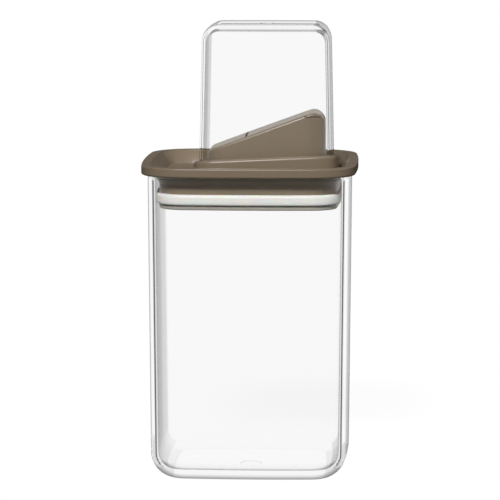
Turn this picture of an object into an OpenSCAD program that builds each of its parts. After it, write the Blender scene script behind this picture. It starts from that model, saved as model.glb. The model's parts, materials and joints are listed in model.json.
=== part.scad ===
// Square cereal canister with a plug-in lid, a pouring spout with a flip flap, and a measuring
// cup that stands upside down over the spout.
// Millimetres, +Z up. The origin is the middle of the underside, -Y is the front and +X is the
// side that pours. A "half" is half of a width, measured at the middle of a side.

/* [Container] */
// Outer width of the container at its rim
container_w = 105; // [92:0.5:140]
// Height from the table to the container's rim
container_h = 155.5; // [100:0.5:260]
// Lean of each side wall in degrees, narrower towards the base
container_draft = 0.48; // [0:0.02:1]
// Thickness of the side walls
wall_t = 3.8; // [2.5:0.1:4.2]
// Thickness of the floor
floor_t = 4.4; // [3:0.1:8]
// Radius of the rounded edge round the underside
base_edge_r = 13.2; // [10:0.2:18]
// Radius of the rounded edge round the floor inside
floor_edge_r = 8.8; // [5:0.2:12]
// Radius of the rounded edges of the container's rim
mouth_edge_r = 1.2; // [0.4:0.1:1.2]
// Plan radius of the upright corners at the rim
corner_r = 19.5; // [14:0.5:26]
// Half angle of the shallow arc that bows each side, in degrees
side_bow = 3.7; // [2:0.1:12]
// Diameter of the round gate mark under the floor
gate_d = 11.5; // [5:0.5:20]
// Depth of the gate mark
gate_depth = 0.6; // [0.2:0.1:1.2]

/* [Lid] */
// How far the lid's rim stands out past the container's rim
rim_overhang = 3.25; // [1.5:0.05:5]
// Width of the lid's flat rim band
rim_band = 5.3; // [4:0.1:7]
// Height of the lid's rim
rim_h = 4.9; // [3.2:0.1:7]
// Gap between the container's rim and the lid's rim
rim_gap = 1.4; // [0.6:0.1:3]
// Radius of the rim's lower outer edge
rim_low_r = 1.1; // [0.6:0.1:2]
// Radius of the rim's upper edges
rim_top_r = 0.7; // [0.4:0.1:0.9]
// Depth of the tray below the top of the rim
tray_depth = 7; // [5.5:0.1:9]
// Thickness of the tray floor
tray_floor_t = 2.4; // [1.8:0.1:3.5]
// Gap between the plug's neck and the container's wall
neck_gap = 2.2; // [1.2:0.1:3]

/* [Plug and gasket] */
// Height of the plug's neck above the gasket
neck_h = 4.6; // [2:0.1:12]
// Depth of the groove that the gasket sits in
groove_depth = 2.75; // [1.5:0.05:4]
// Wall thickness of the plug behind the groove
plug_wall_t = 2.2; // [1.6:0.1:3.5]
// Height of the gasket
gasket_h = 5.6; // [3:0.1:9]
// Gap between the gasket's crown and the container's wall
gasket_gap = 0.32; // [0.3:0.02:0.8]
// Height of the ring that keeps the gasket on
retainer_h = 2.4; // [1.5:0.1:5]
// Clearance between a ring and the plug that it fits round
ring_fit = 0.05; // [0.02:0.01:0.2]

/* [Measuring cup] */
// Outer width of the cup at its rim
cup_w = 69.5; // [60:0.1:76]
// Height of the cup
cup_h = 75.1; // [64:0.1:110]
// Lean of each cup wall in degrees, narrower away from the rim
cup_draft = 1.26; // [0:0.02:2]
// Thickness of the cup's walls
cup_wall_t = 2; // [1.4:0.1:3.2]
// Thickness of the cup's bottom, which is on top here
cup_bottom_t = 3.1; // [1.6:0.1:5]
// Plan radius of the cup's upright corners at its rim
cup_corner_r = 8; // [7:0.5:18]
// Radius of the rounded edge round the cup's bottom outside
cup_edge_r = 8.8; // [6:0.2:12]
// Radius of the rounded edge round the cup's bottom inside
cup_inner_edge_r = 6.2; // [4:0.2:10]
// Diameter of the gate mark on the cup's bottom
cup_gate_d = 7; // [3:0.5:12]

/* [Collar] */
// Thickness of the collar round the cup's rim
collar_t = 2.3; // [2.1:0.1:3.5]
// Clearance between the cup and the collar
cup_play = 0.4; // [0.3:0.05:1]
// Height of the collar above the tray floor, at the cup's axis
collar_h = 11; // [7:0.1:18]
// Tilt of the collar's lip in degrees, higher on the pouring side
collar_tilt = 2.65; // [0:0.05:5]
// Fall of the collar's lip towards the back in degrees, so that it holds the cup in front
collar_rake = 5.8; // [0:0.1:6.5]
// Radius of the lip's outer edge
lip_r = 1.8; // [0.6:0.1:1.8]
// Gap between the collar and the foot of the tray's wall
collar_gap = 0.3; // [0.2:0.05:2]
// Thickness of the deck that the cup stands on
deck_t = 2.2; // [1.6:0.1:4]
// Gap between the cup's rim and the deck
cup_seat_gap = 0.3; // [0.2:0.05:0.8]

/* [Spout] */
// Gap between the ends of the spout and the inside of the cup's rim
spout_gap = 2.25; // [1:0.05:6]
// Depth of the spout from front to back
spout_d = 32; // [26:0.5:46]
// Plan radius of the spout's upright corners
spout_corner_r = 9; // [5:0.5:12]
// Height of the sloping top above the deck, at the middle
spout_rise = 21.4; // [18:0.2:34]
// Slope of the mouth in degrees
mouth_tilt = 20; // [12:0.5:24]
// Radius of the low shoulder
low_edge_r = 4; // [3:0.2:8]
// Radius of the high shoulder
high_edge_r = 6.4; // [5:0.2:9]
// Thickness of the fixed roof over the low half
roof_t = 2.2; // [1.4:0.1:3]
// Thickness of the front and back cheeks, which hold the pivots
cheek_t = 2.6; // [2.4:0.1:4]
// Thickness of the end walls
end_t = 3.2; // [3:0.1:5]
// How far the skirt reaches below the tray
skirt_drop = 3; // [2.4:0.1:8]
// Thickness of the skirt
skirt_t = 1.6; // [1.2:0.1:2.2]
// Clearance between the skirt and the tray's opening
skirt_fit = 0.15; // [0.05:0.05:0.4]

/* [Flap] */
// Distance of the hinge axis from the pouring end
hinge_back = 37.8; // [32:0.2:42]
// Radius of the moulded pivots
pivot_r = 1.2; // [0.8:0.05:1.5]
// Length of each pivot inside its cheek
pivot_l = 1.5; // [1:0.1:1.7]
// Running clearance round a pivot
pivot_gap = 0.06; // [0.02:0.01:0.1]
// Radius of the flap's hinge barrel
barrel_r = 2.4; // [2:0.1:3]
// Gap between the hinge axis and the edge of the fixed roof
roof_setback = 3.3; // [3:0.1:5]
// Thickness of the flap
flap_t = 2; // [1.4:0.1:2.4]
// Gap between the flap and the walls round it
flap_gap = 0.35; // [0.3:0.05:0.8]
// Thickness of the silicone pad under the flap
seal_t = 2.2; // [1:0.1:4]
// Length of the flap's full-width nose
nose_l = 10.5; // [8:0.1:14]
// Height of the nose at the peak of the spout
nose_t = 1.7; // [1.2:0.1:2.5]
// Depth of the finger recess in the end wall
finger_depth = 2.2; // [1:0.1:2.4]
// Height of the finger recess
finger_h = 9; // [5:0.5:12]
// Radius of the finger recess
finger_r = 10; // [7:0.5:14]

/* [Hidden] */

// Steps of the arcs: upright corners, bowed sides, edges seen in section
corner_steps = 8;
side_steps = 4;
edge_steps = 5;
$fn = 48;
// Cutting tools run this far past what they cut
past = 1;

container_half = container_w / 2;
cup_half = cup_w / 2;

// Heights of the lid's parts
rim_low_z = container_h + rim_gap;
rim_top_z = rim_low_z + rim_h;
tray_z = rim_top_z - tray_depth;
tray_low_z = tray_z - tray_floor_t;
gasket_top_z = tray_low_z - neck_h;
gasket_low_z = gasket_top_z - gasket_h;
plug_low_z = gasket_low_z - retainer_h;

// Halves of the lid's parts, from the inside of the container outwards
mouth_half = container_half - wall_t;
neck_half = mouth_half - neck_gap;
groove_half = neck_half - groove_depth;
plug_inner_half = groove_half - plug_wall_t;
gasket_crown_half = wall_half(gasket_low_z) - wall_t - gasket_gap;
rim_half = container_half + rim_overhang;
rim_inner_half = rim_half - rim_band;
tray_foot_half = neck_half - 0.35;

// The cup stands towards the pouring side, where the collar meets the tray's wall
collar_inner_half = cup_half + cup_play;
collar_half = collar_inner_half + collar_t;
cup_x = tray_foot_half - collar_gap - collar_half;
deck_z = tray_z + deck_t;
cup_rim_z = deck_z + cup_seat_gap;
cup_top_z = cup_rim_z + cup_h;
lip_z = tray_z + collar_h;
// The lip stands at least this far above the deck, all round
lip_least = 1.2;

// Spout: a wedge under a sloping line, with its own outline in plan
spout_half_l = cup_half - cup_wall_t - spout_gap;
spout_half_d = spout_d / 2;
spout_low_x = cup_x - spout_half_l;
spout_high_x = cup_x + spout_half_l;
spout_mid_z = deck_z + spout_rise;
channel_half_l = spout_half_l - end_t;
channel_half_d = spout_half_d - cheek_t;
channel_corner_r = max(1, spout_corner_r - cheek_t);
skirt_low_z = tray_low_z - skirt_drop;
peak_z = shoulder_z(spout_high_x - high_edge_r, high_edge_r) + high_edge_r;
above_z = peak_z + 20;

hinge_x = spout_high_x - hinge_back;
hinge_z = slope_z(hinge_x) - barrel_r / cos(mouth_tilt);
nose_x = spout_high_x - nose_l;
nose_z = peak_z - nose_t;

// Half of the container's outer width at height z
function wall_half(z) = container_half - (container_h - z) * tan(container_draft);

// Height of the spout's sloping line at x, and of the centre of a shoulder arc tangent to it
function slope_z(x) = spout_mid_z + (x - cup_x) * tan(mouth_tilt);
function shoulder_z(x, r) = slope_z(x) - r / cos(mouth_tilt);

// Points of an arc, without its last point unless closed is true
function arc(x, y, r, from, to, steps, closed = false) =
    [for (i = [0 : closed ? steps : steps - 1]) let (a = from + (to - from) * i / steps)
        [x + r * cos(a), y + r * sin(a)]];

// Points of a curve from p to q that leaves and arrives along the lines through c
function bend(p, c, q, steps) =
    [for (i = [0 : steps]) let (t = i / steps) (1 - t) * (1 - t) * p + 2 * t * (1 - t) * c + t * t * q];

// Rounded rectangle whose four sides are shallow arcs, tangent to its corner arcs.
// long_r and wide_r are what the side arcs' radii have over the corner radius.
function bowed(half_x, half_y, corner) =
    let (sag = 1 - cos(side_bow), lean = sin(side_bow), x = half_x - corner, y = half_y - corner)
    let (wide_r = (lean * y - sag * x) / (lean * lean - sag * sag))
    let (long_r = (lean * x - sag * y) / (lean * lean - sag * sag))
    let (cx = long_r * lean, cy = wide_r * lean)
    concat(
        arc(x - wide_r, 0, wide_r + corner, -side_bow, side_bow, side_steps),
        arc(cx, cy, corner, side_bow, 90 - side_bow, corner_steps),
        arc(0, y - long_r, long_r + corner, 90 - side_bow, 90 + side_bow, side_steps),
        arc(-cx, cy, corner, 90 + side_bow, 180 - side_bow, corner_steps),
        arc(wide_r - x, 0, wide_r + corner, 180 - side_bow, 180 + side_bow, side_steps),
        arc(-cx, -cy, corner, 180 + side_bow, 270 - side_bow, corner_steps),
        arc(0, long_r - y, long_r + corner, 270 - side_bow, 270 + side_bow, side_steps),
        arc(cx, -cy, corner, 270 + side_bow, 360 - side_bow, corner_steps));

// Square outlines of half width half, set in or out evenly from the container's or the cup's rim
least_corner_r = 1;
function container_outline(half) = bowed(half, half, max(corner_r + half - container_half, least_corner_r));
function cup_outline(half) = bowed(half, half, max(cup_corner_r + half - cup_half, least_corner_r));

// Rings at the [half, z] points of a section, for the container and lid and for the cup and collar
function container_rings(section) =
    [for (s = section) [for (p = container_outline(s[0])) [p[0], p[1], s[1]]]];
function cup_rings(section) =
    [for (s = section) [for (p = cup_outline(s[0])) [cup_x + p[0], p[1], s[1]]]];

// How far the lip stands above its front middle at x, y from the cup's axis
function lip_shift(x, y) =
    max(x * tan(collar_tilt) - (y + collar_half) * tan(collar_rake), deck_z + lip_least - lip_z);

// Closed skin through a stack of rings that starts at its underside; a loop joins the last ring
// to the first, and without it both ends are capped
module skin(stack, loop = false) {
    n = len(stack[0]);
    count = len(stack);
    bands = loop ? count : count - 1;
    sides = [for (k = [0 : bands - 1]) for (i = [0 : n - 1])
        let (a = k * n, b = (k + 1) % count * n, j = (i + 1) % n)
        [a + i, b + i, b + j, a + j]];
    caps = loop ? [] : [[for (i = [0 : n - 1]) i], [for (i = [n - 1 : -1 : 0]) (count - 1) * n + i]];
    polyhedron(points = [for (ring = stack) each ring], faces = concat(sides, caps), convexity = 6);
}

// Upright prism on a bowed rectangle round the cup's axis
module upright(half_x, half_y, corner, low_z, high_z) {
    translate([cup_x, 0, low_z])
        linear_extrude(high_z - low_z) polygon(bowed(half_x, half_y, corner));
}

// Wedge seen from the front, set in by d, from foot_z up to the sloping line
module wedge(d, foot_z) {
    low_r = low_edge_r - min(d, low_edge_r - 0.5);
    high_r = high_edge_r - min(d, high_edge_r - 0.5);
    low_x = spout_low_x + d + low_r;
    high_x = spout_high_x - d - high_r;
    drop = d / cos(mouth_tilt);
    rotate([90, 0, 0])
        linear_extrude(spout_d + 2 * past, center = true)
            polygon(concat(
                [[spout_low_x + d, foot_z], [spout_high_x - d, foot_z]],
                arc(high_x, shoulder_z(high_x, high_r) - drop, high_r, 0, 90 + mouth_tilt, 10, true),
                arc(low_x, shoulder_z(low_x, low_r) - drop, low_r, 90 + mouth_tilt, 180, 8, true)));
}

// Block in the flap's own axes: x runs from the hinge to the nose, z stands off the slope
module along_slope(from, size) {
    translate([hinge_x, 0, hinge_z])
        rotate([0, -mouth_tilt, 0])
            translate([from[0], -size[1] / 2, from[1]]) cube(size);
}

// Solid outer form of the spout above the deck
module spout_form() {
    intersection() {
        upright(spout_half_l, spout_half_d, spout_corner_r, tray_z, above_z);
        wedge(0, tray_z - past);
    }
}

// Space that the flap and its pad fill, clear of the walls round them
module mouth_fill() {
    upright(channel_half_l - flap_gap, channel_half_d - flap_gap, channel_corner_r, deck_z, above_z);
}

module container() {
    outer_r = base_edge_r;
    outer_base = wall_half(outer_r);
    inner_base = wall_half(floor_t + floor_edge_r) - wall_t;
    section = concat(
        arc(outer_base - outer_r, outer_r, outer_r, -90, 0, 6, true),
        arc(container_half - mouth_edge_r, container_h - mouth_edge_r, mouth_edge_r, 0, 90, 3, true),
        arc(mouth_half + mouth_edge_r, container_h - mouth_edge_r, mouth_edge_r, 90, 180, 3, true),
        arc(inner_base - floor_edge_r, floor_t + floor_edge_r, floor_edge_r, 0, -90, 5, true));
    color([0.93, 0.95, 0.95, 0.45]) difference() {
        skin(container_rings(section));
        translate([0, 0, -past]) cylinder(d = gate_d, h = gate_depth + past);
    }
}

module lid_tray() {
    rim_in = rim_inner_half + rim_top_r;
    // Flare under the rim, from the plug's neck out to the flat underside of the rim
    flare = bend([neck_half, tray_low_z], [neck_half + 1.25, rim_low_z - 1.4],
        [mouth_half + 1.9, rim_low_z], 5);
    // Wall of the tray, from its foot up to the rim band
    tray_wall = bend([rim_inner_half, rim_top_z - rim_top_r], [tray_foot_half + 0.6, tray_z + 2],
        [tray_foot_half, tray_z], 5);
    section = concat(
        flare,
        arc(rim_half - rim_low_r, rim_low_z + rim_low_r, rim_low_r, -90, 0, 4, true),
        arc(rim_half - rim_top_r, rim_top_z - rim_top_r, rim_top_r, 0, 90, 3, true),
        arc(rim_in, rim_top_z - rim_top_r, rim_top_r, 90, 180, 3),
        tray_wall);
    opening = skirt_t + skirt_fit;
    color([0.49, 0.43, 0.37]) difference() {
        skin(container_rings(section));
        upright(channel_half_l + opening, channel_half_d + opening, channel_corner_r + opening,
            tray_low_z - past, tray_z + past);
    }
}

module lid_plug() {
    foot_r = 0.6;
    section = concat(
        [[plug_inner_half, plug_low_z], [groove_half - foot_r, plug_low_z],
            [groove_half, plug_low_z + foot_r]],
        [[groove_half, gasket_top_z], [neck_half, gasket_top_z], [neck_half, tray_low_z],
            [plug_inner_half, tray_low_z]]);
    color([0.44, 0.38, 0.33]) skin(container_rings(section), loop = true);
}

module gasket() {
    inner = groove_half + ring_fit;
    edge = neck_half - 0.3;
    crown = gasket_crown_half - edge;
    // Bulging face, a flat arc through the crown
    face_r = (crown * crown + gasket_h * gasket_h / 4) / (2 * crown);
    face_a = asin(gasket_h / 2 / face_r);
    middle_z = (gasket_low_z + gasket_top_z) / 2;
    section = concat(
        [[inner, gasket_low_z]],
        arc(gasket_crown_half - face_r, middle_z, face_r, -face_a, face_a, 8, true),
        [[inner, gasket_top_z]]);
    color([0.96, 0.95, 0.93]) skin(container_rings(section), loop = true);
}

module gasket_retainer() {
    inner = groove_half + ring_fit;
    edge_r = 0.6;
    section = concat(
        [[inner, plug_low_z]],
        arc(neck_half - edge_r, plug_low_z + edge_r, edge_r, -90, 0, 3, true),
        [[neck_half, gasket_low_z], [inner, gasket_low_z]]);
    color([0.66, 0.64, 0.6]) skin(container_rings(section), loop = true);
}

// Ring that stands on the tray round the cup's rim, its lip highest in front and towards +X
module collar() {
    inner_r = 0.3;
    foot_z = tray_z + 1;
    section = concat(
        [[collar_inner_half, tray_z], [collar_half, tray_z], [collar_half, foot_z]],
        arc(collar_half - lip_r, lip_z - lip_r, lip_r, 0, 90, edge_steps, true),
        arc(collar_inner_half + inner_r, lip_z - inner_r, inner_r, 90, 180, 2, true),
        [[collar_inner_half, foot_z]]);
    skin([for (ring = cup_rings(section)) [for (p = ring)
        [p[0], p[1], p[2] + (p[2] > foot_z ? lip_shift(p[0] - cup_x, p[1]) : 0)]]], loop = true);
}

// Small beads that snap under the tray, two on each long side of the skirt
module snap_beads() {
    bead = [9, 1.2, 1.4];
    reach = 0.8;
    for (x = [-1, 1], side = [-1, 1])
        translate([cup_x + x * channel_half_l / 2, side * (channel_half_d + skirt_t + reach - bead[1] / 2),
            tray_low_z - 0.1 - bead[2] / 2])
            cube(bead, center = true);
}

module pour_spout() {
    wide = 4 * spout_half_l;
    bore_l = 2 * (channel_half_d + pivot_l + 0.1);
    color([0.49, 0.43, 0.37]) difference() {
        union() {
            collar();
            translate([cup_x, 0, tray_z]) linear_extrude(deck_t)
                polygon(cup_outline(collar_inner_half + collar_t / 2));
            spout_form();
            upright(channel_half_l + skirt_t, channel_half_d + skirt_t, channel_corner_r + skirt_t,
                skirt_low_z, tray_z + past);
            snap_beads();
        }
        // Channel under the fixed roof
        intersection() {
            upright(channel_half_l, channel_half_d, channel_corner_r, skirt_low_z - past, above_z);
            wedge(roof_t, skirt_low_z - 2 * past);
        }
        // Mouth, open from the roof's edge to the pouring end
        intersection() {
            upright(channel_half_l, channel_half_d, channel_corner_r, deck_z, above_z);
            along_slope([-roof_setback, -2 * barrel_r], [wide, wide, wide]);
        }
        // Step that the nose lies over
        translate([nose_x - flap_gap, -wide / 2, nose_z - flap_gap]) cube([wide, wide, wide]);
        // Blind bores for the pivots
        translate([hinge_x, 0, hinge_z]) rotate([90, 0, 0])
            cylinder(r = pivot_r + pivot_gap, h = bore_l, center = true);
        // Finger recess in the pouring end, under the nose
        translate([spout_high_x - finger_depth + finger_r, 0, nose_z - finger_h])
            cylinder(r = finger_r, h = finger_h);
    }
}

module spout_flap() {
    wide = 4 * spout_half_l;
    barrel_l = 2 * (channel_half_d - flap_gap);
    pivots_l = 2 * (channel_half_d + pivot_l);
    color([0.49, 0.43, 0.37]) union() {
        // Plate between the cheeks, flush with the sloping top
        intersection() {
            mouth_fill();
            wedge(0, deck_z);
            along_slope([0, barrel_r - flap_t], [wide, wide, 2 * flap_t]);
        }
        // Full-width nose over the high shoulder
        intersection() {
            spout_form();
            translate([nose_x, -wide / 2, nose_z]) cube([wide, wide, wide]);
        }
        translate([hinge_x, 0, hinge_z]) rotate([90, 0, 0]) {
            cylinder(r = barrel_r, h = barrel_l, center = true);
            cylinder(r = pivot_r, h = pivots_l, center = true);
        }
    }
}

module flap_seal() {
    wide = 4 * spout_half_l;
    from_hinge = barrel_r + 0.8;
    color([0.96, 0.95, 0.93]) intersection() {
        mouth_fill();
        along_slope([from_hinge, barrel_r - flap_t - seal_t], [wide, wide, seal_t]);
        translate([-wide / 2, -wide / 2, deck_z]) cube([2 * wide, wide, nose_z - deck_z]);
    }
}

module measuring_cup() {
    rim_r = 0.4 * cup_wall_t;
    cup_tan = tan(cup_draft);
    // Half of the cup's outer width at a height above its rim
    outer_top = cup_half - (cup_h - cup_edge_r) * cup_tan;
    ceiling_z = cup_top_z - cup_bottom_t;
    inner_top = cup_half - cup_wall_t - (cup_h - cup_bottom_t - cup_inner_edge_r) * cup_tan;
    inner_rim = cup_half - cup_wall_t;
    section = concat(
        arc(inner_top - cup_inner_edge_r, ceiling_z - cup_inner_edge_r, cup_inner_edge_r, 90, 0, 5, true),
        arc(inner_rim + rim_r, cup_rim_z + rim_r, rim_r, 180, 270, 3, true),
        arc(cup_half - rim_r, cup_rim_z + rim_r, rim_r, 270, 360, 3, true),
        arc(outer_top - cup_edge_r, cup_top_z - cup_edge_r, cup_edge_r, 0, 90, 6, true));
    color([0.93, 0.95, 0.95, 0.45]) difference() {
        skin(cup_rings(section));
        translate([cup_x, 0, cup_top_z - gate_depth]) cylinder(d = cup_gate_d, h = gate_depth + past);
    }
}

container();
lid_tray();
lid_plug();
gasket();
gasket_retainer();
pour_spout();
spout_flap();
flap_seal();
measuring_cup();
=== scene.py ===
# A square clear cereal canister with a plug-in lid, a pouring spout with a flip flap, and a
# measuring cup upside down over the spout. Metres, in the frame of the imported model:
# -Y is the front, +X is the side that pours, +Z is up.
import json
import math

import bmesh
import bpy
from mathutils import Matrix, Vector


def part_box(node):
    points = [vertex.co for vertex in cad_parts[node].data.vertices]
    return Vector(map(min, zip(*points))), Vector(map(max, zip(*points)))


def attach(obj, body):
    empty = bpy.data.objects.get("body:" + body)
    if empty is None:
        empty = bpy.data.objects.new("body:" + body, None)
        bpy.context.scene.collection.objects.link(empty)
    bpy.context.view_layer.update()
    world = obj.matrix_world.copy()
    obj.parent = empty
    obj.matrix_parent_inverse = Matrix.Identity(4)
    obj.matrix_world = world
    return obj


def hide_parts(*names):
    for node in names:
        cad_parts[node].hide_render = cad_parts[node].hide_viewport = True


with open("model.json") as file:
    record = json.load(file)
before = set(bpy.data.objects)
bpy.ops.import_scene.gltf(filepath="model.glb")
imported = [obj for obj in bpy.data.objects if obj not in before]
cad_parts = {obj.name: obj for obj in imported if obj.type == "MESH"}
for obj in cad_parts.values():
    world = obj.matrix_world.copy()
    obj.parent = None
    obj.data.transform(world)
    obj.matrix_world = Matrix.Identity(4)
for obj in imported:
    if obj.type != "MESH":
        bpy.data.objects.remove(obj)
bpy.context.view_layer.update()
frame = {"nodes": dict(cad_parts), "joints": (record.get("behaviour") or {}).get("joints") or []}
print("loaded the frame:", ", ".join(frame["nodes"]))

mm = 0.001

# Outlines and lofts

# How finely the round shapes are drawn
detail = {
    "cornerSteps": 22,
    "sideSteps": 14,
    "arcDegrees": 7.5,
    "shortestRun": 1.5 * mm,  # longer straight runs are split, so that smooth shading stays flat
    "longestRun": 6 * mm,
    "runEdge": 0.25 * mm,
    "leastCorner": 1 * mm,
    "flatShares": (0.04, 0.2, 0.4, 0.6, 0.8, 0.96),  # rings across a flat face
    "hub": 0.5 * mm,  # the smallest ring in the middle of a flat face
    "gateHub": 0.3 * mm,
    "gateSteps": 4,
}
# Every outline is a rounded rectangle whose sides bow outwards by this half angle
sideBow = math.radians(3.7)


def arc(x, y, radius, start, end, steps=None):
    # Points of an arc, angles in degrees
    steps = steps or max(2, math.ceil(abs(end - start) / detail["arcDegrees"]))
    angles = [math.radians(start + (end - start) * i / steps) for i in range(steps + 1)]
    return [(x + radius * math.cos(a), y + radius * math.sin(a)) for a in angles]


def bend(start, middle, end, steps=14):
    # Points of a curve that leaves and arrives along the lines through middle
    points = []
    for i in range(steps + 1):
        t = i / steps
        points.append(tuple(
            (1 - t) ** 2 * a + 2 * t * (1 - t) * b + t * t * c
            for a, b, c in zip(start, middle, end)))
    return points


def bowed(halfX, halfY, corner):
    # Rounded rectangle with bowed sides, tangent to its corner arcs
    lean, sag = math.sin(sideBow), 1 - math.cos(sideBow)
    x, y = halfX - corner, halfY - corner
    wide = (lean * y - sag * x) / (lean ** 2 - sag ** 2)
    long = (lean * x - sag * y) / (lean ** 2 - sag ** 2)
    bow = math.degrees(sideBow)
    points = []
    for quarter, (side, cornerX, cornerY) in enumerate((
            ((x - wide, 0, wide), 1, 1), ((0, y - long, long), -1, 1),
            ((wide - x, 0, wide), -1, -1), ((0, long - y, long), 1, -1))):
        turn = 90 * quarter
        points += arc(side[0], side[1], side[2] + corner, turn - bow, turn + bow,
                      detail["sideSteps"])[:-1]
        points += arc(cornerX * long * lean, cornerY * wide * lean, corner, turn + bow,
                      turn + 90 - bow, detail["cornerSteps"])[:-1]
    return points


def ringMaker(fullHalf, corner, x=0.0):
    # Rings of one square part: the outline of half width fullHalf, set in or out evenly
    def ringAt(half, z):
        radius = max(corner + half - fullHalf, detail["leastCorner"])
        return [(x + px, py, z) for px, py in bowed(half, half, radius)]
    return ringAt


def circleLike(ring, radius, z, x=0.0):
    # A circle with the points of a ring, each in its own direction from the middle
    points = []
    for px, py, _ in ring:
        stretch = radius / math.hypot(px - x, py)
        points.append((x + (px - x) * stretch, py * stretch, z))
    return points


def between(start, end, share):
    return [tuple(a + (b - a) * share for a, b in zip(p, q)) for p, q in zip(start, end)]


def profile(*parts):
    # Joins the parts of a section, drops repeated points and splits long straight runs
    points = []
    for point in [p for part in parts for p in part]:
        if not points or math.dist(points[-1], point) > 1e-6:
            points.append(tuple(point))
    split = [points[0]]
    for start, end in zip(points, points[1:]):
        length = math.dist(start, end)
        shares = []
        if length > detail["shortestRun"]:
            edge = detail["runEdge"] / length
            count = math.ceil(length / detail["longestRun"])
            shares = [edge] + [i / count for i in range(1, count)] + [1 - edge]
        split += [tuple(a + (b - a) * s for a, b in zip(start, end)) for s in shares]
        split.append(end)
    return split


def meshOf(name, points, faces):
    mesh = bpy.data.meshes.new(name)
    mesh.from_pydata(points, [], faces)
    work = bmesh.new()
    work.from_mesh(mesh)
    bmesh.ops.recalc_face_normals(work, faces=work.faces)
    work.to_mesh(mesh)
    work.free()
    piece = bpy.data.objects.new(name, mesh)
    bpy.context.scene.collection.objects.link(piece)
    return piece


def loft(name, rings, loop=False, fans=False):
    # Closed skin through a stack of rings. A loop joins the last ring to the first. Otherwise
    # both ends are capped, with a fan round a middle point where fans is true.
    size = len(rings[0])
    points = [p for ring in rings for p in ring]
    faces = []
    for k in range(len(rings) if loop else len(rings) - 1):
        a, b = k * size, (k + 1) % len(rings) * size
        faces += [(a + i, a + (i + 1) % size, b + (i + 1) % size, b + i) for i in range(size)]
    if not loop:
        for first in (0, (len(rings) - 1) * size):
            if fans:
                ring = [Vector(p) for p in points[first:first + size]]
                points.append(tuple(sum(ring, Vector()) / size))
                middle = len(points) - 1
                faces += [(first + i, first + (i + 1) % size, middle) for i in range(size)]
            else:
                faces.append(tuple(range(first, first + size)))
    return meshOf(name, points, faces)


def smooth(piece, sharpFrom=40):
    piece.data.shade_smooth()
    piece.data.set_sharp_from_angle(angle=math.radians(sharpFrom))
    return piece


def combine(piece, tool, operation="DIFFERENCE"):
    # Cuts tool out of piece, or adds it
    step = piece.modifiers.new("combine", "BOOLEAN")
    step.operation = operation
    step.solver = "EXACT"
    step.object = tool
    bpy.context.view_layer.update()
    graph = bpy.context.evaluated_depsgraph_get()
    result = bpy.data.meshes.new_from_object(piece.evaluated_get(graph))
    piece.modifiers.clear()
    piece.data = result
    bpy.data.objects.remove(tool)
    return piece


def clip(piece, point, normal):
    # Keeps what lies behind the plane, and closes the cut
    work = bmesh.new()
    work.from_mesh(piece.data)
    cut = bmesh.ops.bisect_plane(
        work, geom=work.verts[:] + work.edges[:] + work.faces[:], plane_co=point,
        plane_no=normal, clear_outer=True)
    edges = [e for e in cut["geom_cut"] if isinstance(e, bmesh.types.BMEdge)]
    bmesh.ops.holes_fill(work, edges=edges, sides=0)
    bmesh.ops.recalc_face_normals(work, faces=work.faces)
    work.to_mesh(piece.data)
    work.free()
    return piece


def block(name, low, high):
    points = [(x, y, z) for x in (low[0], high[0]) for y in (low[1], high[1])
              for z in (low[2], high[2])]
    faces = [(0, 1, 3, 2), (4, 6, 7, 5), (0, 4, 5, 1), (2, 3, 7, 6), (0, 2, 6, 4), (1, 5, 7, 3)]
    return meshOf(name, points, faces)


def rod(name, start, end, radius, edge=0.0, steps=48):
    # Round bar along Y or Z, with a small chamfer round its ends
    axis = Vector(end) - Vector(start)
    length = axis.length
    axis.normalize()
    side = Vector((1, 0, 0))
    up = axis.cross(side)
    section = [(radius, 0), (radius, length)]
    if edge:
        section = [(radius - edge, 0), (radius, edge), (radius, length - edge), (radius - edge, length)]
    rings = []
    for r, along in section:
        centre = Vector(start) + axis * along
        turns = [2 * math.pi * i / steps for i in range(steps)]
        rings.append([tuple(centre + side * r * math.cos(a) + up * r * math.sin(a)) for a in turns])
    return loft(name, rings)


# Materials


def linear(hexColour, alpha=1.0):
    # sRGB hex to the linear colour that shaders use
    values = [int(hexColour[i:i + 2], 16) / 255 for i in (1, 3, 5)]
    return tuple(v / 12.92 if v <= 0.04045 else ((v + 0.055) / 1.055) ** 2.4
                 for v in values) + (alpha,)


def addNode(tree, kind, settings=None, links=None):
    # Adds a node, sets its properties or sockets, and feeds its sockets
    node = tree.nodes.new(kind)
    for key, value in (settings or {}).items():
        if isinstance(key, str) and hasattr(node, key):
            setattr(node, key, value)
        else:
            node.inputs[key].default_value = value
    for key, source in (links or {}).items():
        tree.links.new(source, node.inputs[key])
    return node


def newMaterial(name):
    material = bpy.data.materials.new(name)
    material.use_nodes = True
    material.node_tree.nodes.clear()
    return material, material.node_tree


clearPlastic = {
    "ior": 1.004,  # nearly unbent: in the photo the lid shows undistorted through the walls
    "roughness": 0.0,
    # Painted shade: the colour darkens by how far a face turns away from the eye, 0 square on and 1 edge on
    "walls": ((0.0, "#FBFBFB"), (0.42, "#FBFBFB"), (0.6, "#F9F9F9"), (0.75, "#F0F0F0"),
              (0.87, "#C0C0C0"), (1.0, "#808080")),
    "edges": ((0.0, "#FBFBFB"), (0.44, "#ECECEC"), (0.55, "#B0B0B0"), (0.64, "#8A8A8A"),
              (0.78, "#666666"), (1.0, "#404040")),
    "lean": (0.3, 0.6),  # upright part of the normal, from wall to round edge
    "flat": (0.994, 0.9985),  # level faces get no painted shade
    "skinColour": "#242424",  # painted shade: a dark line down a corner, where the wall's inner face turns edge on
    "skin": (0.452, 0.476, 0.5, 0.57),  # turns at which the painted line starts, is full, fades and ends
    "corner": (0.15, 0.3),  # X times Y part of the normal, from side to round corner
    "lampShare": "#FAFBFB",  # what lamps keep when they shine through a wall
}


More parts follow.
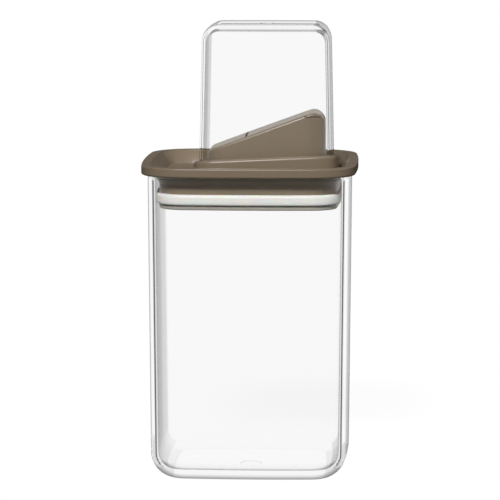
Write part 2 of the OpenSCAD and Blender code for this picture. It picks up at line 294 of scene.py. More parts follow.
def ramp(tree, source, low, high, start=0.0, end=1.0):
    # Rises or falls smoothly while the source goes from low to high
    return addNode(tree, "ShaderNodeMapRange", {
        "interpolation_type": "SMOOTHSTEP", "From Min": low, "From Max": high,
        "To Min": start, "To Max": end}, {"Value": source}).outputs[0]


def absolute(tree, source):
    return addNode(tree, "ShaderNodeMath", {"operation": "ABSOLUTE"}, {0: source}).outputs[0]


def times(tree, *sources):
    product = sources[0]
    for source in sources[1:]:
        product = addNode(tree, "ShaderNodeMath", {"operation": "MULTIPLY"},
                          {0: product, 1: source}).outputs[0]
    return product


def shades(tree, source, stops):
    # Colour ramp through the stops
    node = addNode(tree, "ShaderNodeValToRGB", links={0: source})
    for index, (place, colour) in enumerate(stops):
        stop = node.color_ramp.elements[index] if index < 2 else node.color_ramp.elements.new(place)
        stop.position, stop.color = place, linear(colour)
    return node.outputs[0]


def mixed(tree, share, first, second):
    # Second colour over the first by a share
    return addNode(tree, "ShaderNodeMix", {"data_type": "RGBA"},
                   {0: share, 6: first, 7: second}).outputs[2]


def mouldedSan(name):
    # Injection-moulded SAN, a clear stiff plastic: glossy and colourless. Its colour carries painted shade:
    # round edges and the faces of a wall are painted as grey lines, darker as they turn edge on to the eye.
    material, tree = newMaterial(name)
    turned = addNode(tree, "ShaderNodeLayerWeight", {"Blend": 0.5}).outputs["Facing"]
    normal = addNode(tree, "ShaderNodeSeparateXYZ", links={
        0: addNode(tree, "ShaderNodeTexCoord").outputs["Normal"]}).outputs
    upward = absolute(tree, normal["Z"])
    # Painted shade: a round edge that leans down, away from a raised eye, is painted darker than one that
    # leans up
    low, high = clearPlastic["lean"]
    colour = mixed(tree, ramp(tree, normal["Z"], -high, -low, 1.0, 0.0),
                   shades(tree, turned, clearPlastic["walls"]), shades(tree, turned, clearPlastic["edges"]))
    # The painted dark line lies on the surface that the eye meets first, and only down a round corner,
    # where the normal is far from both X and Y
    path = addNode(tree, "ShaderNodeLightPath")
    slant = absolute(tree, times(tree, normal["X"], normal["Y"]))
    rise, full, fade, end = clearPlastic["skin"]
    line = times(tree, ramp(tree, turned, rise, full), ramp(tree, turned, fade, end, 1.0, 0.0),
                 ramp(tree, upward, low, high, 1.0, 0.0), ramp(tree, slant, *clearPlastic["corner"]),
                 path.outputs["Is Camera Ray"])
    # Mixes the painted dark line into the colour
    skin = addNode(tree, "ShaderNodeMix", {
        "data_type": "RGBA", 7: linear(clearPlastic["skinColour"])}, {0: line, 6: colour})
    # Level faces keep the clear colour, with no painted shade
    clear = addNode(tree, "ShaderNodeMix", {
        "data_type": "RGBA", 7: linear(clearPlastic["walls"][0][1])},
        {0: ramp(tree, upward, *clearPlastic["flat"]), 6: skin.outputs[2]})
    plastic = addNode(tree, "ShaderNodeBsdfPrincipled", {
        "Transmission Weight": 1.0,
        "IOR": clearPlastic["ior"],
        "Roughness": clearPlastic["roughness"],
    }, {"Base Color": clear.outputs[2]})
    # Lamps and diffuse light pass straight through, so the lid inside is lit and the floor
    # keeps only a faint shadow of the walls
    opened = addNode(tree, "ShaderNodeBsdfTransparent", {"Color": linear(clearPlastic["lampShare"])})
    forDiffuse = addNode(tree, "ShaderNodeMixShader", links={
        0: path.outputs["Is Diffuse Ray"], 1: plastic.outputs[0], 2: opened.outputs[0]})
    forLamps = addNode(tree, "ShaderNodeMixShader", links={
        0: path.outputs["Is Shadow Ray"], 1: forDiffuse.outputs[0], 2: opened.outputs[0]})
    addNode(tree, "ShaderNodeOutputMaterial", links={"Surface": forLamps.outputs[0]})
    return material


taupePlastic = {
    "colour": "#7A6C5A",
    "drift": "#7F705D",
    "ior": 1.49,
    "roughness": 0.38,
    "grain": 0.35 * mm,  # moulded texture; the real grain is near 0.1 mm and too fine to show
    "grainDepth": 0.012 * mm,
    "grainStrength": 0.6,
    "grainGloss": 0.04,  # how far the grain moves the roughness either way
    "clouds": 22 * mm,
}


def mouldedPolypropylene(name, colour, driftColour, roughness):
    # Injection-moulded polypropylene, pigmented through: satin, with a fine tool grain that
    # breaks up highlights and a faint drift of shade where the melt flowed.
    p = taupePlastic
    material, tree = newMaterial(name)
    place = addNode(tree, "ShaderNodeTexCoord").outputs["Object"]
    drift = addNode(tree, "ShaderNodeTexNoise", {"Scale": 1 / p["clouds"], "Detail": 3.0},
                    {"Vector": place})
    shade = addNode(tree, "ShaderNodeMix", {
        "data_type": "RGBA", 6: linear(colour), 7: linear(driftColour)}, {0: drift.outputs["Fac"]})
    speckle = addNode(tree, "ShaderNodeTexNoise", {"Scale": 1 / p["grain"], "Detail": 2.0},
                      {"Vector": place})
    satin = addNode(tree, "ShaderNodeMapRange", {
        "To Min": roughness - p["grainGloss"], "To Max": roughness + p["grainGloss"]},
        {"Value": speckle.outputs["Fac"]})
    relief = addNode(tree, "ShaderNodeBump", {"Strength": p["grainStrength"], "Distance": p["grainDepth"]},
                     {"Height": speckle.outputs["Fac"]})
    plastic = addNode(tree, "ShaderNodeBsdfPrincipled", {"IOR": p["ior"]}, {
        "Base Color": shade.outputs[2], "Roughness": satin.outputs[0], "Normal": relief.outputs[0]})
    addNode(tree, "ShaderNodeOutputMaterial", links={"Surface": plastic.outputs[0]})
    return material


whiteSilicone = {
    "colour": "#F4F2ED",
    "ior": 1.41,
    "roughness": 0.5,
    "softness": 0.5,
    "depth": 2 * mm,  # how far light sinks in
    "haze": 0.5 * mm,  # dust-fine unevenness, drawn coarse enough to show
    "hazeDepth": 0.01 * mm,
    "hazeStrength": 0.4,
    "hazeGloss": (-0.05, 0.08),
}


def mouldedSilicone(name):
    # Compression-moulded silicone rubber, off-white: soft satin, light sinks in a little and
    # rounds off the shading, and dust-fine unevenness keeps its highlight wide.
    w = whiteSilicone
    material, tree = newMaterial(name)
    place = addNode(tree, "ShaderNodeTexCoord").outputs["Object"]
    haze = addNode(tree, "ShaderNodeTexNoise", {"Scale": 1 / w["haze"], "Detail": 2.0}, {"Vector": place})
    low, high = w["hazeGloss"]
    satin = addNode(tree, "ShaderNodeMapRange", {
        "To Min": w["roughness"] + low, "To Max": w["roughness"] + high}, {"Value": haze.outputs["Fac"]})
    relief = addNode(tree, "ShaderNodeBump", {"Strength": w["hazeStrength"], "Distance": w["hazeDepth"]},
                     {"Height": haze.outputs["Fac"]})
    rubber = addNode(tree, "ShaderNodeBsdfPrincipled", {
        "Base Color": linear(w["colour"]),
        "IOR": w["ior"],
        "Subsurface Weight": w["softness"],
        "Subsurface Scale": w["depth"],
    }, {"Roughness": satin.outputs[0], "Normal": relief.outputs[0]})
    addNode(tree, "ShaderNodeOutputMaterial", links={"Surface": rubber.outputs[0]})
    return material


greyPlastic = {"colour": "#A8A399", "drift": "#ADA89E", "roughness": 0.4}

sanMaterial = mouldedSan("clear_moulded_SAN")
taupeMaterial = mouldedPolypropylene(
    "taupe_moulded_polypropylene", taupePlastic["colour"], taupePlastic["drift"], taupePlastic["roughness"])
greyMaterial = mouldedPolypropylene(
    "grey_moulded_polypropylene", greyPlastic["colour"], greyPlastic["drift"], greyPlastic["roughness"])
siliconeMaterial = mouldedSilicone("white_moulded_silicone")
print("made the materials")


def settle(piece, node, body, material):
    # The finished piece takes over from its plain solid
    piece.data.materials.clear()
    piece.data.materials.append(material)
    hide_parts(node)
    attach(piece, body)
    return piece


# Container

container = {
    "wall": 3.8 * mm,
    "floor": 4.4 * mm,
    "draft": 0.48,  # degrees, each side wall
    "corner": 19.5 * mm,
    "baseEdge": 13.2 * mm,
    "floorEdge": 8.8 * mm,
    "floorCrease": 62,  # degrees of the floor's rounded edge before it breaks into the flat floor
    "mouthEdge": 1.2 * mm,
    "gate": 5.75 * mm,  # radius of the round mark under the floor
    "gateDepth": 0.6 * mm,
    "gateEdge": 0.25 * mm,
}


def buildContainer():
    c = container
    half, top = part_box("container")[1].x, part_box("container")[1].z
    lean = math.tan(math.radians(c["draft"]))
    ringAt = ringMaker(half, c["corner"])
    wallHalf = lambda z: half - (top - z) * lean
    base = wallHalf(c["baseEdge"])
    inside = wallHalf(c["floor"] + c["floorEdge"]) - c["wall"]
    edge = c["mouthEdge"]
    crease = -c["floorCrease"]
    outer = profile(
        [(base - c["baseEdge"], 0)],
        arc(base - c["baseEdge"], c["baseEdge"], c["baseEdge"], -90, 0),
        arc(half - edge, top - edge, edge, 0, 90),
        arc(half - c["wall"] + edge, top - edge, edge, 90, 180),
        arc(inside - c["floorEdge"], c["floor"] + c["floorEdge"], c["floorEdge"], 0, crease))
    rings = [ringAt(h, z) for h, z in outer]
    # Underside: from the round gate mark out to the rounded edge
    gate, deep, soft = c["gate"], c["gateDepth"], c["gateEdge"]
    edgeRing = rings[0]
    under = [circleLike(edgeRing, r, z) for r, z in profile(
        [(detail["gateHub"], deep)],
        arc(gate - 2 * soft, deep - soft, soft, 90, 0, detail["gateSteps"]),
        arc(gate, soft, soft, 180, 270, detail["gateSteps"]))]
    gateRing = under[-1]
    under += [between(gateRing, edgeRing, share) for share in detail["flatShares"]]
    # Floor inside: from the crease to the middle
    floorHalf, floorZ = outer[-1]
    floorRing = ringAt(floorHalf - soft, floorZ)
    middle = circleLike(floorRing, detail["hub"], floorZ)
    floor = [between(floorRing, middle, share) for share in (0.0, 0.04, 0.25, 0.5, 0.75, 0.98)]
    piece = smooth(loft("container_shell", under + rings + floor, fans=True), sharpFrom=25)
    return settle(piece, "container", "container", sanMaterial)


buildContainer()
print("built the container")

# Measuring cup

cup = {
    "wall": 2 * mm,
    "bottom": 3.1 * mm,
    "draft": 1.26,  # degrees, each side wall
    "corner": 8 * mm,
    "edge": 8.8 * mm,
    "innerEdge": 6.2 * mm,
    "rimEdge": 0.8 * mm,
    "gate": 3.5 * mm,
    "gateDepth": 0.6 * mm,
    "gateEdge": 0.25 * mm,
}
cupLow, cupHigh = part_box("measuring_cup")
cupX = (cupLow.x + cupHigh.x) / 2


def buildCup():
    c = cup
    half = (cupHigh.x - cupLow.x) / 2
    rim, top = cupLow.z, cupHigh.z
    lean = math.tan(math.radians(c["draft"]))
    ringAt = ringMaker(half, c["corner"], cupX)
    outer = half - (top - rim - c["edge"]) * lean
    ceiling = top - c["bottom"]
    inner = half - c["wall"] - (ceiling - c["innerEdge"] - rim) * lean
    edge = c["rimEdge"]
    section = profile(
        arc(inner - c["innerEdge"], ceiling - c["innerEdge"], c["innerEdge"], 90, 0),
        arc(half - c["wall"] + edge, rim + edge, edge, 180, 270),
        arc(half - edge, rim + edge, edge, 270, 360),
        arc(outer - c["edge"], top - c["edge"], c["edge"], 0, 90))
    rings = [ringAt(h, z) for h, z in section]
    middle = circleLike(rings[0], detail["hub"], ceiling, cupX)
    ceilingRings = [between(rings[0], middle, share) for share in (0.98, 0.75, 0.5, 0.25, 0.04)]
    gate, deep, soft = c["gate"], c["gateDepth"], c["gateEdge"]
    gateRing = circleLike(rings[-1], gate, top, cupX)
    topRings = [between(rings[-1], gateRing, share) for share in detail["flatShares"]]
    topRings += [circleLike(rings[-1], r, z, cupX) for r, z in profile(
        arc(gate, top - soft, soft, 90, 180, detail["gateSteps"]),
        arc(gate - 2 * soft, top - deep + soft, soft, 0, -90, detail["gateSteps"]),
        [(detail["gateHub"], top - deep)])]
    piece = smooth(loft("measuring_cup_shell", ceilingRings + rings + topRings, fans=True), sharpFrom=25)
    return settle(piece, "measuring_cup", "cup", sanMaterial)


buildCup()
print("built the measuring cup")

# Lid: tray, plug, gasket, retainer

lid = {
    "rimBand": 5.3 * mm,
    "rimHeight": 4.9 * mm,
    "lowEdge": 1.1 * mm,
    "topEdge": 0.7 * mm,
    "trayDepth": 7 * mm,
    "flareReach": 1.9 * mm,  # where the flare meets the flat underside of the rim
    "flareBend": (1.25 * mm, -1.4 * mm),  # from the plug's side, and from the rim's underside
    "trayBend": (0.6 * mm, 2 * mm),  # from the foot of the tray's wall
    "footGap": 0.35 * mm,
}
plug = {
    "groove": 2.75 * mm,
    "wall": 2.2 * mm,
    "edge": 0.5 * mm,
    "ledgeEdge": 0.3 * mm,  # round edge over the gasket
}
seal = {
    "seatGap": 0.05 * mm,  # between the plug's groove and both rings
    "square": 3.6,  # 2 gives the face an oval section, and more makes it flatter
    "span": 84,  # degrees each way that the face reaches round its edges
    "faceSteps": 24,
    "lipReach": 0.5 * mm,  # level stretch behind each round edge, and its bend
    "lipBend": 0.05 * mm,
    "retainerEdge": 0.7 * mm,
    "retainerLine": 0.2 * mm,  # shallow line between the gasket and its ring
    "closing": 0.1 * mm,  # last step of a closed section
}
spout = {
    "gap": 2.25 * mm,  # between the spout's ends and the cup
    "depth": 32 * mm,
    "corner": 9 * mm,
    "tilt": 20.0,  # degrees of the sloping top
    "lowEdge": 4 * mm,
    "highEdge": 6.4 * mm,
    "topEdge": 1.5 * mm,
    "roof": 2.2 * mm,
    "cheek": 2.6 * mm,
    "end": 3.2 * mm,
    "skirt": 1.6 * mm,
    "skirtFit": 0.15 * mm,
    "hingeRadius": 2.4 * mm,
    "pivotRadius": 1.2 * mm,
    "pivotLength": 1.5 * mm,
    "pivotGap": 0.06 * mm,
    "roofSetback": 3.3 * mm,
    "heel": 2 * mm,  # how far the flap's plate reaches back past its hinge
    "flapGap": 0.35 * mm,
    "flap": 2 * mm,
    "plateEdge": 0.35 * mm,
    "barrelEdge": 0.2 * mm,
    "seal": 2.2 * mm,
    "sealStart": 0.8 * mm,  # past the hinge barrel
    "sealEdge": 0.35 * mm,
    "noseLength": 10.5 * mm,
    "noseHeight": 1.7 * mm,
    "fingerDepth": 2.2 * mm,
    "fingerHeight": 9 * mm,
    "fingerRadius": 10 * mm,
    "boreEnd": 0.1 * mm,  # play past the end of each pivot
    "leastShoulder": 0.5 * mm,  # least radius of a shoulder on a form that is set in
    "capMargin": 0.4 * mm,  # keeps the flat cap of a form off its middle line
    "edgeRings": 16,
    "overcut": 2 * mm,  # how far a cutting form runs past what it cuts
}

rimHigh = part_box("lid_tray")[1]
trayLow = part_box("lid_tray")[0].z
trayTop = rimHigh.z - lid["trayDepth"]
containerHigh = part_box("container")[1]
lidRing = ringMaker(containerHigh.x, container["corner"])
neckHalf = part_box("lid_plug")[1].x
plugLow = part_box("lid_plug")[0].z
gasketLow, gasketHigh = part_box("gasket")[0].z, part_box("gasket")[1].z
grooveHalf = neckHalf - plug["groove"]
sealSeat = grooveHalf + seal["seatGap"]

spoutHalfLength = (cupHigh.x - cupLow.x) / 2 - cup["wall"] - spout["gap"]
spoutHalfDepth = spout["depth"] / 2
channelHalfLength = spoutHalfLength - spout["end"]
channelHalfDepth = spoutHalfDepth - spout["cheek"]
channelCorner = spout["corner"] - spout["cheek"]


def channelOutline(grow=0.0):
    # Plan of the channel, larger or smaller all round by grow
    outline = bowed(channelHalfLength + grow, channelHalfDepth + grow, channelCorner + grow)
    return [(cupX + x, y) for x, y in outline]


def buildTray():
    top, low = rimHigh.z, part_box("lid_tray")[0].z
    rimLow = top - lid["rimHeight"]
    half = rimHigh.x
    rimInner = half - lid["rimBand"]
    mouthHalf = containerHigh.x - container["wall"]
    foot = neckHalf - lid["footGap"]
    lowEdge, topEdge = lid["lowEdge"], lid["topEdge"]
    section = profile(
        bend((neckHalf, low), (neckHalf + lid["flareBend"][0], rimLow + lid["flareBend"][1]),
             (mouthHalf + lid["flareReach"], rimLow)),
        arc(half - lowEdge, rimLow + lowEdge, lowEdge, -90, 0),
        arc(half - topEdge, top - topEdge, topEdge, 0, 90),
        arc(rimInner + topEdge, top - topEdge, topEdge, 90, 180),
        bend((rimInner, top - topEdge), (foot + lid["trayBend"][0], trayTop + lid["trayBend"][1]),
             (foot, trayTop)))
    rings = [lidRing(h, z) for h, z in section]

    def flat(outerHalf, z):
        # Flat rings from the spout's opening out to the tray's outline
        opening = [(x, y, z) for x, y in channelOutline(spout["skirt"] + spout["skirtFit"])]
        return [between(opening, lidRing(outerHalf, z), s) for s in (0.0, 0.01, 0.3, 0.6, 0.9, 0.99)]

    underside = flat(neckHalf, low)
    trayFloor = flat(foot, trayTop)[::-1]
    piece = smooth(loft("lid_tray_moulding", underside + rings + trayFloor, loop=True), sharpFrom=35)
    return settle(piece, "lid_tray", "lid", taupeMaterial)


def buildPlug():
    edge, ledge = plug["edge"], plug["ledgeEdge"]
    inner = grooveHalf - plug["wall"]
    section = profile(
        [(inner, plugLow + edge)], arc(inner + edge, plugLow + edge, edge, 180, 270, 4),
        arc(grooveHalf - edge, plugLow + edge, edge, 270, 360, 4),
        [(grooveHalf, gasketHigh), (neckHalf - ledge, gasketHigh)],
        arc(neckHalf - ledge, gasketHigh + ledge, ledge, 270, 360, 3),
        [(neckHalf, trayLow), (inner, trayLow), (inner, plugLow + 2 * edge)])
    piece = loft("lid_plug_moulding", [lidRing(h, z) for h, z in section], loop=True)
    settle(smooth(piece, sharpFrom=35), "lid_plug", "lid", taupeMaterial)


def buildGasket():
    # A band with a nearly flat face between round edges
    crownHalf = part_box("gasket")[1].x
    crown = crownHalf - (neckHalf - plug["ledgeEdge"])
    height = gasketHigh - gasketLow
    middle = (gasketLow + gasketHigh) / 2
    square, span, steps = seal["square"], seal["span"], seal["faceSteps"]
    face = []
    for i in range(steps + 1):
        t = math.sin(math.radians(-span + 2 * span * i / steps))
        out = (1 - abs(t) ** square) ** (1 / square)
        face.append((crownHalf - crown + crown * out, middle + t * height / 2))
    lip, root = face[0][0] - seal["lipReach"], face[0][0] - seal["lipBend"]
    section = profile(
        [(sealSeat, gasketLow), (lip, gasketLow)],
        bend((lip, gasketLow), (root, gasketLow), face[0], 4),
        face,
        bend(face[-1], (root, gasketHigh), (lip, gasketHigh), 4),
        [(sealSeat, gasketHigh), (sealSeat, gasketLow + seal["closing"])])
    piece = loft("gasket_band", [lidRing(h, z) for h, z in section], loop=True)
    settle(smooth(piece, sharpFrom=35), "gasket", "lid", siliconeMaterial)


def buildRetainer():
    # Ring under the gasket, with a shallow line round its face
    edge, line = seal["retainerEdge"], seal["retainerLine"]
    section = profile(
        [(sealSeat, plugLow)],
        arc(neckHalf - edge, plugLow + edge, edge, -90, 0, 5),
        [(neckHalf, gasketLow - line), (neckHalf - line, gasketLow), (sealSeat, gasketLow),
         (sealSeat, plugLow + seal["closing"])])
    piece = loft("gasket_retainer_ring", [lidRing(h, z) for h, z in section], loop=True)
    settle(smooth(piece, sharpFrom=35), "gasket_retainer", "lid", greyMaterial)


buildTray()
buildPlug()
buildGasket()
buildRetainer()
print("built the lid, its plug and its seal")

# Spout, flap and seal pad

collar = {
    "thickness": 2.3 * mm,
    "play": 0.4 * mm,
    "height": 11 * mm,
    "tilt": 2.65,  # degrees, higher on the pouring side
    "rake": 5.8,  # degrees, lower at the back
    "least": 1.2 * mm,  # the lip stands at least this far above the deck
    "lip": 1.8 * mm,
    "innerEdge": 0.4 * mm,
    "deck": 2.2 * mm,
    "foot": 1 * mm,
    "bead": (4.5 * mm, 0.6 * mm, 0.7 * mm),  # half sizes of a snap bead on the skirt
    "beadReach": 0.8 * mm,
    "beadDrop": 0.1 * mm,
    "weld": 0.5 * mm,  # how far joined forms run into each other
}
slope = math.tan(math.radians(spout["tilt"]))
tiltCos = math.cos(math.radians(spout["tilt"]))
spoutLowX = cupX - spoutHalfLength
spoutHighX = cupX + spoutHalfLength
deckTop = trayTop + collar["deck"]
# The flap's top is the highest point of the spout, which places the sloping line
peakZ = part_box("spout_flap")[1].z
highX = spoutHighX - spout["highEdge"]
slopeMiddle = (peakZ - spout["highEdge"] + spout["highEdge"] / tiltCos
               - (highX - cupX) * slope)
hinge = next(j for j in frame["joints"] if j["name"] == "flap_hinge")["pos_m"]
noseX = spoutHighX - spout["noseLength"]
noseZ = peakZ - spout["noseHeight"]
wayUp = peakZ + 20 * mm  # clear above everything, for cutting forms


def slopeAt(x):
    return slopeMiddle + (x - cupX) * slope


def wedgeTop(x, setIn=0.0):
    # Height of the sloping top with its two shoulders, set in by a distance
    lowEdge = max(spout["lowEdge"] - setIn, spout["leastShoulder"])
    highEdge = max(spout["highEdge"] - setIn, spout["leastShoulder"])
    drop = setIn / tiltCos
    lowCentre, highCentre = spoutLowX + setIn + lowEdge, spoutHighX - setIn - highEdge
    reach = math.sin(math.radians(spout["tilt"]))
    if x < lowCentre - lowEdge * reach:
        aside = min(abs(x - lowCentre), lowEdge)
        return slopeAt(lowCentre) - drop - lowEdge / tiltCos + math.sqrt(lowEdge ** 2 - aside ** 2)
    if x > highCentre - highEdge * reach:
        aside = min(abs(x - highCentre), highEdge)
        return slopeAt(highCentre) - drop - highEdge / tiltCos + math.sqrt(highEdge ** 2 - aside ** 2)
    return slopeAt(x) - drop


def wedgeSolid(name, halfLength, halfDepth, corner, lowZ, edge, setIn=0.0):
    # Closed solid under the sloping top. Its long top edges are rounded by edge.
    outline = [(cupX + x, y) for x, y in bowed(halfLength, halfDepth, corner)]
    rings = [[(x, y, lowZ) for x, y in outline]]
    deepest = corner - spout["capMargin"]
    count = spout["edgeRings"]
    insets = [deepest * (1 - math.cos(math.radians(4 + 86 * i / count))) for i in range(count + 1)]
    for inset in [0.0] + insets:
        ring = []
        inner = bowed(halfLength - inset, halfDepth - inset, corner - inset)
        for (x, y), (fullX, fullY) in zip(inner, outline):
            # The rounding fades where the outline turns to an end, which has its shoulder
            facing = abs(y - fullY) / max(math.hypot(cupX + x - fullX, y - fullY), 1e-9)
            radius = edge * (facing if inset > 0 else sideFacing(x, y, halfLength, halfDepth, corner))
            short = max(radius - inset, 0.0)
            drop = radius - math.sqrt(max(radius ** 2 - short ** 2, 0.0))
            ring.append((cupX + x, y, wedgeTop(cupX + x, setIn) - drop))
        rings.append(ring)
    return loft(name, rings)


def sideFacing(x, y, halfLength, halfDepth, corner):
    # How squarely the outline faces front or back at a point: 1 on the long sides, 0 at the ends
    past = max(abs(x) - (halfLength - corner), 0.0) / corner
    return math.sqrt(max(1 - min(past, 1.0) ** 2, 0.0))


def prism(name, outline, lowZ, highZ):
    # Upright block with the outline as its plan
    return loft(name, [[(x, y, z) for x, y in outline] for z in (lowZ, highZ)])


def alongSlope(x, z):
    # Point in the flap's own axes: x runs from the hinge to the nose, z stands off the slope
    tilt = math.radians(spout["tilt"])
    return Vector((hinge[0] + x * math.cos(tilt) - z * math.sin(tilt), 0,
                   hinge[2] + x * math.sin(tilt) + z * math.cos(tilt)))


def slopeDirection(x, z):
    # Direction in the flap's own axes
    return alongSlope(x, z) - alongSlope(0, 0)


def outerForm(name, lowZ):
    # The whole spout with its flap shut, as one solid
    return wedgeSolid(name, spoutHalfLength, spoutHalfDepth, spout["corner"], lowZ, spout["topEdge"])


def buildSpout():
    # Collar and deck, one skin from the middle of the underside over the lip to the deck
    inner = (cupHigh.x - cupLow.x) / 2 + collar["play"]
    outer = inner + collar["thickness"]
    lipZ = trayTop + collar["height"]
    foot = trayTop + collar["foot"]
    lip, innerEdge = collar["lip"], collar["innerEdge"]
    centre = inner / 2
    section = profile(
        [(centre, trayTop), (outer, trayTop), (outer, foot)],
        arc(outer - lip, lipZ - lip, lip, 0, 90),
        arc(inner + innerEdge, lipZ - innerEdge, innerEdge, 90, 180, 5),
        [(inner, deckTop), (centre, deckTop)])
    cupHalf = (cupHigh.x - cupLow.x) / 2
    ringAt = ringMaker(cupHalf, cup["corner"])
    rise, fall = math.tan(math.radians(collar["tilt"])), math.tan(math.radians(collar["rake"]))

    def lipShift(x, y):
        # How far the lip stands above its front middle
        return max(x * rise - (y + outer) * fall, deckTop + collar["least"] - lipZ)

    rings = []
    for half, z in section:
        low, high = (foot, lipZ - lip) if half > (inner + outer) / 2 else (deckTop, lipZ - innerEdge)
        share = min(max((z - low) / (high - low), 0.0), 1.0)
        rings.append([(cupX + x, y, z + share * lipShift(x, y)) for x, y, _ in ringAt(half, z)])
    piece = loft("pour_spout_moulding", rings)
    weldZ = trayTop + collar["weld"]
    combine(piece, outerForm("form", weldZ), "UNION")
    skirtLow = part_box("pour_spout")[0].z
    skirt = prism("skirt", channelOutline(spout["skirt"]), skirtLow, weldZ)
    combine(piece, skirt, "UNION")
    bead = Vector(collar["bead"])
    for sideX in (-1, 1):
        for sideY in (-1, 1):
            middle = Vector((cupX + sideX * channelHalfLength / 2,
                             sideY * (channelHalfDepth + spout["skirt"] + collar["beadReach"] - bead.y),
                             trayLow - collar["beadDrop"] - bead.z))
            combine(piece, block("bead", middle - bead, middle + bead), "UNION")
    # Channel under the fixed roof
    combine(piece, wedgeSolid("channel", channelHalfLength, channelHalfDepth, channelCorner,
                              skirtLow - spout["overcut"], 0.0, spout["roof"]))
    # Mouth, open from the roof's edge to the pouring end
    mouth = prism("mouth", channelOutline(), deckTop, wayUp)
    clip(mouth, alongSlope(-spout["roofSetback"], 0), -slopeDirection(1, 0))
    clip(mouth, alongSlope(0, -2 * spout["hingeRadius"]), -slopeDirection(0, 1))
    combine(piece, mouth)
    gap = spout["flapGap"]
    wide = spout["depth"]
    combine(piece, block("step", (noseX - gap, -wide, noseZ - gap),
                         (spoutHighX + spout["overcut"], wide, wayUp)))
    bore = channelHalfDepth + spout["pivotLength"] + spout["boreEnd"]
    combine(piece, rod("bore", (hinge[0], -bore, hinge[2]), (hinge[0], bore, hinge[2]),
                       spout["pivotRadius"] + spout["pivotGap"]))
    fingerX = spoutHighX - spout["fingerDepth"] + spout["fingerRadius"]
    combine(piece, rod("finger", (fingerX, 0, noseZ - spout["fingerHeight"]), (fingerX, 0, noseZ),
                       spout["fingerRadius"], steps=96))
    return settle(smooth(piece, sharpFrom=32), "pour_spout", "lid", taupeMaterial)


def buildFlap():
    gap = spout["flapGap"]
    # Nose over the high shoulder, as wide as the spout
    piece = outerForm("spout_flap_moulding", deckTop)
    clip(piece, (noseX, 0, 0), (-1, 0, 0))
    clip(piece, (0, 0, noseZ), (0, 0, -1))
    plate = wedgeSolid("plate", channelHalfLength - gap, channelHalfDepth - gap,
                       channelCorner - gap, deckTop, spout["plateEdge"])
    clip(plate, alongSlope(0, spout["hingeRadius"] - spout["flap"]), -slopeDirection(0, 1))
    clip(plate, alongSlope(-spout["heel"], 0), -slopeDirection(1, 0))
    combine(piece, plate, "UNION")
    barrel = channelHalfDepth - gap
    combine(piece, rod("barrel", (hinge[0], -barrel, hinge[2]), (hinge[0], barrel, hinge[2]),
                       spout["hingeRadius"], spout["barrelEdge"]), "UNION")
    pivot = channelHalfDepth + spout["pivotLength"]
    combine(piece, rod("pivots", (hinge[0], -pivot, hinge[2]), (hinge[0], pivot, hinge[2]),
                       spout["pivotRadius"], spout["barrelEdge"]), "UNION")
    return settle(smooth(piece, sharpFrom=32), "spout_flap", "flap", taupeMaterial)


def buildSealPad():
    gap = spout["flapGap"]
    pad = prism("flap_seal_pad", channelOutline(-gap), deckTop, wayUp)
    top = spout["hingeRadius"] - spout["flap"]
    clip(pad, alongSlope(0, top), slopeDirection(0, 1))
    clip(pad, alongSlope(0, top - spout["seal"]), -slopeDirection(0, 1))
    clip(pad, alongSlope(spout["hingeRadius"] + spout["sealStart"], 0), -slopeDirection(1, 0))
    clip(pad, (0, 0, noseZ), (0, 0, 1))
    rounding = pad.modifiers.new("soft edges", "BEVEL")
    rounding.width = spout["sealEdge"]
    rounding.segments = 3
    rounding.limit_method = "ANGLE"
    rounding.angle_limit = math.radians(40)
    return settle(smooth(pad, sharpFrom=40), "flap_seal", "flap", siliconeMaterial)


buildSpout()
buildFlap()
buildSealPad()
print("built the spout, its flap and the seal pad")

# Floor, light and camera

studio = {
    "floorColour": "#404040",
    "floorSize": 20.0,
    "floorLift": 0.965,  # extra brightness that only the camera and clear plastic see
    "ambient": 0.095,
    "gloss": 0.09,  # brightness of the room that gloss shows
    # Suns by name: strength, then angle across, elevation and azimuth in degrees
    "suns": {"key": (3.25, 11, 38, -11), "fill": (0.6, 60, 25, 78)},
}


def seen(tree, path):
    # 1 for the camera and for what clear plastic shows, 0 for gloss and lighting
    return addNode(tree, "ShaderNodeMath", {"operation": "MAXIMUM"}, {
        0: path.outputs["Is Camera Ray"], 1: path.outputs["Is Transmission Ray"]})


def buildWorld():
    world = bpy.data.worlds.new("white_studio")
    bpy.context.scene.world = world
    world.use_nodes = True
    tree = world.node_tree
    tree.nodes.clear()
    path = addNode(tree, "ShaderNodeLightPath")
    strength = addNode(tree, "ShaderNodeMix", {
        "data_type": "FLOAT", 2: studio["ambient"], 3: studio["gloss"]}, {0: path.outputs["Is Glossy Ray"]})
    strength = addNode(tree, "ShaderNodeMix", {"data_type": "FLOAT", 3: 1.0}, {
        0: seen(tree, path).outputs[0], 2: strength.outputs[0]})
    light = addNode(tree, "ShaderNodeBackground", {"Color": (1, 1, 1, 1)},
                    {"Strength": strength.outputs[0]})
    addNode(tree, "ShaderNodeOutputWorld", links={"Surface": light.outputs[0]})


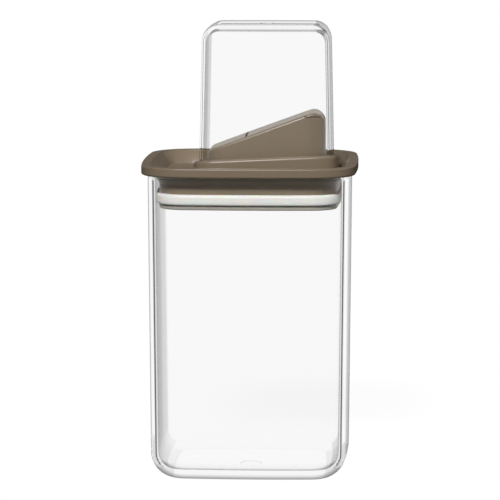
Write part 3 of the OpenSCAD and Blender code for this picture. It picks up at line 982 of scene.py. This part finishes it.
def buildFloor():
    size = studio["floorSize"] / 2
    floor = meshOf("studio_floor", [(-size, -size, 0), (size, -size, 0), (size, size, 0),
                                    (-size, size, 0)], [(0, 1, 2, 3)])
    material, tree = newMaterial("matt_white_paper")
    path = addNode(tree, "ShaderNodeLightPath")
    paper = addNode(tree, "ShaderNodeBsdfDiffuse", {"Color": linear(studio["floorColour"])})
    lift = addNode(tree, "ShaderNodeMath", {"operation": "MULTIPLY", 1: studio["floorLift"]},
                   {0: seen(tree, path).outputs[0]})
    glow = addNode(tree, "ShaderNodeEmission", {"Color": (1, 1, 1, 1)}, {"Strength": lift.outputs[0]})
    both = addNode(tree, "ShaderNodeAddShader", links={0: paper.outputs[0], 1: glow.outputs[0]})
    addNode(tree, "ShaderNodeOutputMaterial", links={"Surface": both.outputs[0]})
    floor.data.materials.append(material)


def directionTo(azimuth, elevation):
    # From the object out, in degrees: azimuth 0 is the front, and it grows towards +X
    a, e = math.radians(azimuth), math.radians(elevation)
    return Vector((math.sin(a) * math.cos(e), -math.cos(a) * math.cos(e), math.sin(e)))


def addSun(name, strength, across, elevation, azimuth):
    lamp = bpy.data.lights.new(name, "SUN")
    lamp.energy = strength
    lamp.angle = math.radians(across)
    sun = bpy.data.objects.new(name, lamp)
    sun.rotation_euler = directionTo(azimuth, elevation).to_track_quat("Z", "Y").to_euler()
    bpy.context.scene.collection.objects.link(sun)


camera = {
    "distance": 1.6,
    "azimuth": 2.6,
    "elevation": 7.34,
    "target": (-0.00062, 0.0, 0.11387),
    "focalPixels": 3065.0,  # focal length in pixels of a frame 500 wide
    "frame": 500,
    "sensor": 36.0,
    "clip": (0.05, 60),
}


def buildCamera():
    lens = bpy.data.cameras.new("photo_camera")
    lens.sensor_width = camera["sensor"]
    lens.lens = camera["focalPixels"] / camera["frame"] * camera["sensor"]
    lens.clip_start, lens.clip_end = camera["clip"]
    towards = directionTo(camera["azimuth"], camera["elevation"])
    view = bpy.data.objects.new("photo_camera", lens)
    view.location = Vector(camera["target"]) + towards * camera["distance"]
    view.rotation_euler = towards.to_track_quat("Z", "Y").to_euler()
    bpy.context.scene.collection.objects.link(view)
    bpy.context.scene.camera = view


buildWorld()
buildFloor()
for sunName, sunValues in studio["suns"].items():
    addSun(sunName, *sunValues)
buildCamera()
bpy.context.scene.view_settings.view_transform = "Standard"
print("set the light and the camera")
